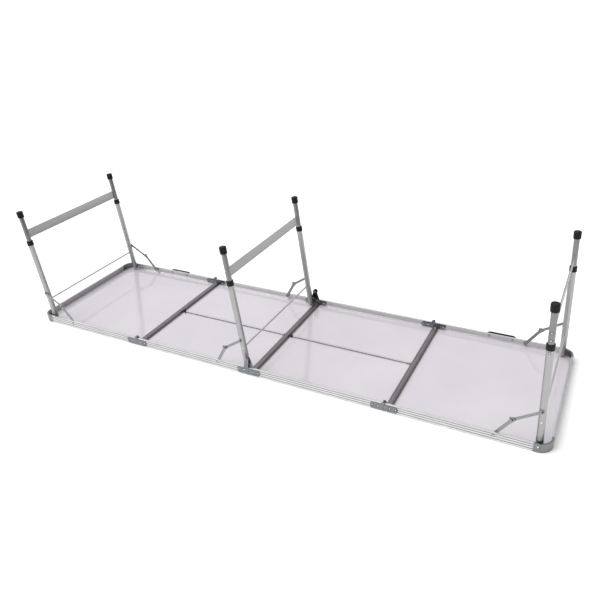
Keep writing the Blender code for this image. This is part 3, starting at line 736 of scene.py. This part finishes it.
class Leg:
    """A leg's frame: Z runs from its pivot towards its feet, Y across the table."""

    def __init__(self, which):
        self.which = which
        self.pivot = spot(f"leg_{which}_fold")
        inwards = Vector(JOINTS[f"leg_{which}_slide"]["axis"])
        self.lean = math.atan2(-inwards.x, -inwards.z)
        self.matrix = Matrix.Translation(self.pivot) @ Matrix.Rotation(self.lean, 4, "Y")
        self.tube_end = self.span(f"leg_tubes_{which}")[1].z
        self.heel = self.span(f"leg_tubes_{which}")[0].z
        self.collar = [corner.z for corner in self.span(f"leg_collar_{which}_far")]
        self.cap = [corner.z for corner in self.span(f"foot_cap_{which}_far")]
        low, high = self.span(f"leg_collar_{which}_far")
        self.y = (low.y + high.y) / 2
        self.inner_start = self.span(f"leg_extension_{which}")[0].z
        self.body = f"leg_{which}"
        self.extension = f"leg_{which}_extension"

    def span(self, name):
        """A node's lowest and highest corners in the leg's own frame."""
        back = self.matrix.inverted()
        points = [back @ vertex.co for vertex in frame["nodes"][name].data.vertices]
        low = Vector([min(point[i] for point in points) for i in range(3)])
        high = Vector([max(point[i] for point in points) for i in range(3)])
        return low, high


def open_tube(radius, wall, low, high, closed_low):
    """A round tube with softly turned lips. Its closed end is low or high."""
    ease = 0.0003
    inner = radius - wall
    mouth, floor, sign = (high, low, 1) if closed_low else (low, high, -1)
    profile = [
        (0.0, floor),
        (radius - 4 * ease, floor),
        (radius - ease, floor + sign * ease),
        (radius, floor + sign * 4 * ease),
        (radius, mouth - sign * ease),
        (radius - ease, mouth),
        (inner + ease, mouth),
        (inner, mouth - sign * ease),
        (inner, floor + sign * wall),
        (0.0, floor + sign * wall),
    ]
    return turned(profile)


def tube_pair(leg, radius, wall, low, high, closed_low):
    shapes = []
    for side in SIDES.values():
        tube = open_tube(radius, wall, low, high, closed_low)
        shapes.append(moved(tube, Matrix.Translation((0, side * leg.y, 0))))
    return joined(*shapes)


def heel_bracket(leg, side):
    """A folded steel channel round a tube's foot, open towards the table's middle."""
    radius = TUBE_RADIUS + 0.0006
    thickness = 0.0008
    outer = arc((0.0, 0.0), radius, -120, 120, 24)
    inner = arc((0.0, 0.0), radius - thickness, 120, -120, 24)
    outline = outer + inner
    rings = []
    for z in (leg.heel + 0.002, leg.heel + 0.034):
        rings.append([(y, side * (leg.y + x), z) for x, y in outline])
    return skinned(rings)


def build_outer_leg(leg):
    which = leg.which
    tubes = tube_pair(leg, TUBE_RADIUS, TUBE_WALL, leg.heel, leg.tube_end, True)
    piece(f"tubes_{which}", tubes, TUBE, leg.body, leg.matrix, replaced=[f"leg_tubes_{which}"])
    reach = leg.y - TUBE_RADIUS + TUBE_WALL / 2
    rod = bar_between((0, -reach, ROD_HEIGHT), (0, reach, ROD_HEIGHT), ROD_RADIUS, 28)
    piece(f"cross_rod_{which}", rod, CROSS_ROD, leg.body, leg.matrix)
    for name, side in SIDES.items():
        bracket = heel_bracket(leg, side)
        bracket_name = f"heel_bracket_{which}_{name}"
        piece(bracket_name, bracket, LINK, leg.body, leg.matrix, bevel=FINE_EDGE)
        outer_face = leg.y + TUBE_RADIUS
        pin_start = (0, side * outer_face, 0)
        pin_end = (0, side * (HALF_WIDTH - RAIL_WALL - GAP), 0)
        pin = bar_between(pin_start, pin_end, LEG_PIN_RADIUS, 24)
        bush_start = (0, side * (outer_face + BUSH_START), 0)
        bush_end = (0, side * (outer_face + BUSH_END), 0)
        bush = bar_between(bush_start, bush_end, BUSH_RADIUS, 28)
        piece(f"pivot_pin_{which}_{name}", pin, RIVET, leg.body, leg.matrix)
        piece(f"pivot_bush_{which}_{name}", bush, BLACK, leg.body, leg.matrix)
        heads = [
            ((0, side * outer_face, ROD_HEIGHT), (0, side, 0), 0.0032, 0.0003),
            ((0, side * (leg.y - TUBE_RADIUS), ROD_HEIGHT + 0.010), (0, -side, 0), 0.0018, 0.0007),
            ((0, side * (leg.y + TUBE_RADIUS + 0.0006), leg.heel + 0.028), (0, side, 0), 0.0026, 0.0003),
        ]
        rivets(f"leg_rivets_{which}_{name}", heads, leg.body, leg.matrix)


def collar(leg, side):
    """A moulded collar: a cup over the outer tube, a waist and a lip that guides the inner tube."""
    start, end = leg.collar
    wide = TUBE_RADIUS + GAP
    narrow = INNER_RADIUS + GAP
    outside = COLLAR_RADIUS
    step = leg.tube_end + GAP
    profile = [
        (wide, start),
        (outside - 0.0006, start),
        (outside, start + 0.0008),
        (outside, start + 0.0088),
        (outside - 0.0007, start + 0.0096),
        (outside - 0.0007, start + 0.0106),
        (outside, start + 0.0114),
        (outside, end - 0.0032),
        (outside - 0.0005, end - 0.0013),
        (outside - 0.0018, end - 0.0002),
        (narrow + 0.0008, end),
        (narrow, end - 0.0006),
        (narrow, step),
        (wide, step),
    ]
    return moved(turned(profile, closed=True), Matrix.Translation((0, side * leg.y, 0)))


def foot_cap(leg, side):
    """A moulded foot with two grip rings and a rounded, slightly dished sole."""
    start, end = leg.cap
    inside = INNER_RADIUS + GAP
    outside = inside + CAP_WALL
    profile = [(inside, start), (outside - 0.0008, start), (outside - 0.0002, start + 0.0008)]
    for ring in (0.0045, 0.0085):
        profile += [
            (outside, start + ring - 0.0010),
            (outside - 0.0006, start + ring - 0.0004),
            (outside - 0.0006, start + ring + 0.0004),
            (outside, start + ring + 0.0010),
        ]
    profile.append((outside + 0.0003, end - 0.0050))
    for i in range(1, 7):
        t = math.radians(90 * i / 6)
        profile.append((outside + 0.0003 - 0.0042 * (1 - math.cos(t)), end - 0.0042 * (1 - math.sin(t))))
    profile += [(0.0060, end - 0.0001), (0.0045, end - 0.0007), (0.0, end - 0.0008), (0.0, end - CAP_FLOOR)]
    profile += [(inside, end - CAP_FLOOR)]
    return moved(turned(profile, closed=True), Matrix.Translation((0, side * leg.y, 0)))


def build_extension(leg):
    which = leg.which
    tube_top = leg.cap[1] - CAP_FLOOR - GAP
    tubes = tube_pair(leg, INNER_RADIUS, TUBE_WALL, leg.inner_start, tube_top, False)
    piece(
        f"inner_tubes_{which}",
        tubes,
        INNER,
        leg.extension,
        leg.matrix,
        replaced=[f"leg_extension_{which}"],
    )
    low = leg.collar[1] + STRIP_ABOVE_COLLAR
    reach = leg.y - INNER_RADIUS + TUBE_WALL / 2
    half = 0.0010
    bead = 0.0016
    section = [
        (-half, low + bead),
        (-bead, low + bead),
        (-bead, low),
        (bead, low),
        (bead, low + bead),
        (half, low + bead),
        (half, low + STRIP_WIDTH - bead),
        (bead, low + STRIP_WIDTH - bead),
        (bead, low + STRIP_WIDTH),
        (-bead, low + STRIP_WIDTH),
        (-bead, low + STRIP_WIDTH - bead),
        (-half, low + STRIP_WIDTH - bead),
    ]
    strip = prism_y(rounded(section, 0.0007, 3), -reach, reach)
    piece(f"strip_{which}", strip, STRIP, leg.extension, leg.matrix)
    for name, side in SIDES.items():
        heads = []
        for rise in STRIP_RIVET_RISES:
            at = (0, side * (leg.y + INNER_RADIUS), low + rise)
            heads.append((at, (0, side, 0), *STRIP_RIVET))
        shadow_ringed_rivets(f"strip_rivets_{which}_{name}", heads, leg.extension, leg.matrix)
        cap = foot_cap(leg, side)
        piece(
            f"foot_{which}_{name}",
            cap,
            RUBBER,
            leg.extension,
            leg.matrix,
            replaced=[f"foot_cap_{which}_{name}"],
        )


def build_collars(leg):
    which = leg.which
    for name, side in SIDES.items():
        sleeve = collar(leg, side)
        piece(
            f"collar_{which}_{name}",
            sleeve,
            BLACK,
            leg.body,
            leg.matrix,
            replaced=[f"leg_collar_{which}_{name}"],
        )
        at = (0, side * (leg.y + TUBE_RADIUS), leg.collar[0] - 0.008)
        button = [(at, (0, side, 0), *LOCK_BUTTON)]
        shadow_ringed_rivets(f"lock_button_{which}_{name}", button, leg.body, leg.matrix)


# Braces ----------------------------------------------------------------------------------------------


def link_outline(length, waist):
    """A flat link's outline: round ends and a waist, as (x, z) with the pivot at the origin and the elbow
    knuckle, which is wider, at the far end."""

    def end(radius):
        points = [(radius * math.cos(t), radius * math.sin(t)) for t in quarter]
        for i in range(1, steps + 1):
            share = i / steps
            ease = share * share * (3 - 2 * share)
            points.append((radius + (waist - radius) * ease, blend * share))
        return points

    steps = 8
    blend = 0.016
    quarter = [math.radians(-90 + 90 * i / steps) for i in range(1, steps + 1)]
    right = [(0.0, -LINK_RADIUS)] + end(LINK_RADIUS)
    right += [(x, length - z) for x, z in reversed(end(ELBOW_RADIUS))]
    left = [(-x, z) for x, z in reversed(right)]
    return right + [(0.0, length + ELBOW_RADIUS)] + left[:-1]


def pressed_plate(outline, low, high):
    """A plate with a shallow recess pressed in both faces, inside a raised border."""
    bm = prism_y(outline, low, high)
    bmesh.ops.recalc_face_normals(bm, faces=bm.faces)
    broad = [face for face in bm.faces if abs(face.normal.y) > 0.9]
    bmesh.ops.inset_individual(bm, faces=broad, thickness=0.0022, depth=0.0)
    bmesh.ops.inset_individual(bm, faces=broad, thickness=0.0007, depth=-0.0004)
    return bm


def link_matrix(name, pivot):
    """A link's own frame: the pivot at the origin and Z towards its other end, with that end's distance."""
    points = [vertex.co for vertex in frame["nodes"][name].data.vertices]
    middle = sum(points, Vector()) / len(points)
    turn = math.atan2(middle.x - pivot.x, middle.z - pivot.z)
    matrix = Matrix.Translation((pivot.x, 0, pivot.z)) @ Matrix.Rotation(turn, 4, "Y")
    back = matrix.inverted()
    length = max((back @ point).z for point in points) - LINK_RADIUS
    return matrix, length


def build_braces(which):
    for name, side in SIDES.items():
        upper_node = f"brace_upper_{which}_{name}"
        lower_node = f"brace_lower_{which}_{name}"
        upper_box, lower_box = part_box(upper_node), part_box(lower_node)
        upper, upper_length = link_matrix(upper_node, spot(f"{upper_node}_pivot"))
        lower, lower_length = link_matrix(lower_node, spot(f"{lower_node}_pivot"))
        upper_y = sorted((upper_box[0].y, upper_box[1].y))
        inner = lower_box[0].y if side > 0 else lower_box[1].y
        lower_y = sorted((inner, inner + side * LINK_THICKNESS))
        top = pressed_plate(link_outline(upper_length, LINK_WAIST), *upper_y)
        piece(f"link_upper_{which}_{name}", top, LINK, upper_node, upper, SOFT_EDGE, [upper_node])
        bend = (lower.inverted() @ upper.translation).x
        reflex = -math.copysign(1.0, bend)
        bottom = pressed_plate(link_outline(lower_length, LOWER_LINK_WAIST), *lower_y)
        piece(f"link_lower_{which}_{name}", bottom, LINK, lower_node, lower, SOFT_EDGE, [lower_node])
        ear = [(0.0035, STOP_TOP), (STOP_OUTSIDE, STOP_TOP), (STOP_OUTSIDE, STOP_FOOT), (0.0070, STOP_FOOT)]
        ear = [(reflex * x, lower_length + z) for x, z in ear]
        tab = prism_y(ear, *lower_y)
        stop_y = sorted((side * abs(upper_y[0 if side > 0 else 1]), side * abs(inner)))
        wall = [(STOP_INSIDE, STOP_TOP), (STOP_OUTSIDE, STOP_TOP)]
        wall += [(STOP_OUTSIDE, STOP_FOOT), (STOP_INSIDE, STOP_FOOT)]
        wall = [(reflex * x, lower_length + z) for x, z in wall]
        stop = prism_y(wall, *stop_y)
        piece(f"elbow_stop_{which}_{name}", joined(tab, stop), LINK, lower_node, lower, FINE_EDGE)
        outer = max(abs(y) for y in lower_y)
        pin_end = (0, side * (HALF_WIDTH - RAIL_WALL - GAP), 0)
        pin = bar_between((0, side * outer, 0), pin_end, BRACE_PIN_RADIUS, 20)
        piece(f"brace_pin_{which}_{name}", pin, RIVET, lower_node, lower)
        # These low heads are dark: painted shade that outlines them on the braces.
        low_heads = [((0, side * outer, lower_length), (0, side, 0), *BRACE_RIVET)]
        rivets(f"elbow_rivet_{which}_{name}", low_heads, lower_node, lower, DARK)
        outer_upper = max(abs(y) for y in upper_y)
        top_heads = [((0, side * outer_upper, 0), (0, side, 0), *BRACE_RIVET)]
        rivets(f"brace_rivet_{which}_{name}", top_heads, upper_node, upper, DARK)


def build_rail_rivets():
    """The rivets that the legs and braces turn on, seen on the rails' outer faces."""
    for which in WHICH:
        body = PANEL_OF_LEG[which]
        for name, side in SIDES.items():
            leg_at = spot(f"leg_{which}_fold")
            brace_at = spot(f"brace_lower_{which}_{name}_pivot")
            over_leaf = GAP + LEAF_THICKNESS if which == "middle" else 0.0
            heads = [
                ((leg_at.x, side * (HALF_WIDTH + over_leaf), leg_at.z), (0, side, 0), *LEG_RAIL_RIVET),
                ((brace_at.x, side * HALF_WIDTH, brace_at.z), (0, side, 0), *BRACE_RAIL_RIVET),
            ]
            shadow_ringed_rivets(f"rail_rivets_{which}_{name}", heads, body)


# Handles ---------------------------------------------------------------------------------------------


def handle(low, high):
    """A moulded carrying loop with rounded grips, and a flange at each foot."""
    bend = HANDLE_BEND
    inner = HANDLE_THICKNESS / 2
    centre = (low.x + high.x) / 2
    half = (high.x - low.x) / 2 - inner
    grip = high.y - inner
    steps = 10
    path = [((-half, low.y), (1.0, 0.0))]
    for i in range(steps + 1):
        t = math.radians(90 * i / steps)
        at = (-half + bend * (1 - math.cos(t)), grip - bend * (1 - math.sin(t)))
        path.append((at, (math.cos(t), -math.sin(t))))
    path += [((-x, y), (-nx, ny)) for (x, y), (nx, ny) in reversed(path)]
    section = [(-inner, low.z), (inner, low.z), (inner, high.z), (-inner, high.z)]
    loop = swept(path, rounded(section, 0.0030, 5))
    shapes = [loop]
    for end in (-1, 1):
        x = end * (half + 0.001)
        z = (low.z + high.z) / 2
        wide, tall = HANDLE_FOOT_HALF
        corners = [(x - wide, z - tall), (x + wide, z - tall), (x + wide, z + tall), (x - wide, z + tall)]
        shapes.append(prism_y(rounded(corners, 0.004, 5), low.y, low.y + HANDLE_FOOT_THICKNESS))
    return moved(joined(*shapes), Matrix.Translation((centre, 0, 0)))


def build_handles():
    for which, body in (("left", "panel_1"), ("right", "panel_4")):
        low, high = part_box(f"carry_handle_{which}")
        loop = handle(low, high + Vector((0, 0, HANDLE_RISE)))
        replaced = [f"carry_handle_{which}"]
        piece(f"handle_{which}", loop, BLACK, body, bevel=SOFT_EDGE, replaced=replaced)
        heads = []
        for x in (low.x + HANDLE_RIVET_INSET, high.x - HANDLE_RIVET_INSET):
            at = (x, HALF_WIDTH - RAIL_WALL, (low.z + high.z) / 2)
            heads.append((at, (0, -1, 0), *HANDLE_RIVET))
        shadow_ringed_rivets(f"handle_rivets_{which}", heads, body)


# Stage -----------------------------------------------------------------------------------------------


def build_stage():
    mesh = bpy.data.meshes.new("floor")
    reach = FLOOR_REACH
    below = -FLOOR_DROP
    corners = [(-reach, -reach, below), (reach, -reach, below), (reach, reach, below), (-reach, reach, below)]
    mesh.from_pydata(corners, [], [(0, 1, 2, 3)])
    floor = bpy.data.objects.new("floor", mesh)
    made, tree, shader, place = principled("floor", 0.75)
    grain = noise(tree, place, 30.0)
    base = shades(tree, grain, (0.3, (0.93, 0.93, 0.93)), (0.7, (0.96, 0.96, 0.96)))
    tree.links.new(base, shader.inputs["Base Color"])
    shader.inputs["Specular IOR Level"].default_value = 0.1
    mesh.materials.append(made)
    bpy.context.scene.collection.objects.link(floor)
    world = bpy.data.worlds.new("studio")
    world.use_nodes = True
    tree = world.node_tree
    ground = tree.nodes["Background"]
    direction = tree.nodes.new("ShaderNodeTexCoord").outputs["Generated"]
    parts = node(tree, "ShaderNodeSeparateXYZ", Vector=direction).outputs
    sky = shades(tree, parts[2], *SKY_STOPS)
    aside = spread(tree, parts[0], SKY_STRENGTH_LEFT, SKY_STRENGTH_RIGHT, -1.0, 1.0)
    tree.links.new(sky, ground.inputs["Color"])
    tree.links.new(aside, ground.inputs["Strength"])
    bpy.context.scene.world = world
    data = bpy.data.lights.new("key", "SUN")
    data.energy = SUN_STRENGTH
    data.angle = SUN_SPREAD
    lamp = bpy.data.objects.new("key", data)
    lamp.rotation_euler = Vector(SUN_DIRECTION).to_track_quat("-Z", "Y").to_euler()
    bpy.context.scene.collection.objects.link(lamp)


def build_camera():
    """The view from a standing person's height past the right end, looking down and to the left."""
    yaw, pitch, roll = (math.radians(angle) for angle in CAMERA_ANGLES)
    ahead = Vector((math.sin(yaw) * math.cos(pitch), math.cos(yaw) * math.cos(pitch), -math.sin(pitch)))
    right = ahead.cross(Vector((0, 0, 1))).normalized()
    up = right.cross(ahead)
    turned_right = right * math.cos(roll) + up * math.sin(roll)
    turned_up = up * math.cos(roll) - right * math.sin(roll)
    data = bpy.data.cameras.new("camera")
    data.sensor_width = 36.0
    data.lens = CAMERA_LENS
    camera = bpy.data.objects.new("camera", data)
    axes = Matrix((turned_right, turned_up, -ahead)).transposed().to_4x4()
    camera.matrix_world = Matrix.Translation(CAMERA_PLACE) @ axes
    bpy.context.scene.collection.objects.link(camera)
    bpy.context.scene.camera = camera


build_camera()
build_stage()
build_rails()
build_boards()
build_cross_bars()
build_stiffeners()
build_hinges()
for each in WHICH:
    a_leg = Leg(each)
    build_outer_leg(a_leg)
    build_collars(a_leg)
    build_extension(a_leg)
    build_braces(each)
build_rail_rivets()
build_handles()
bpy.context.scene.view_settings.view_transform = "Standard"
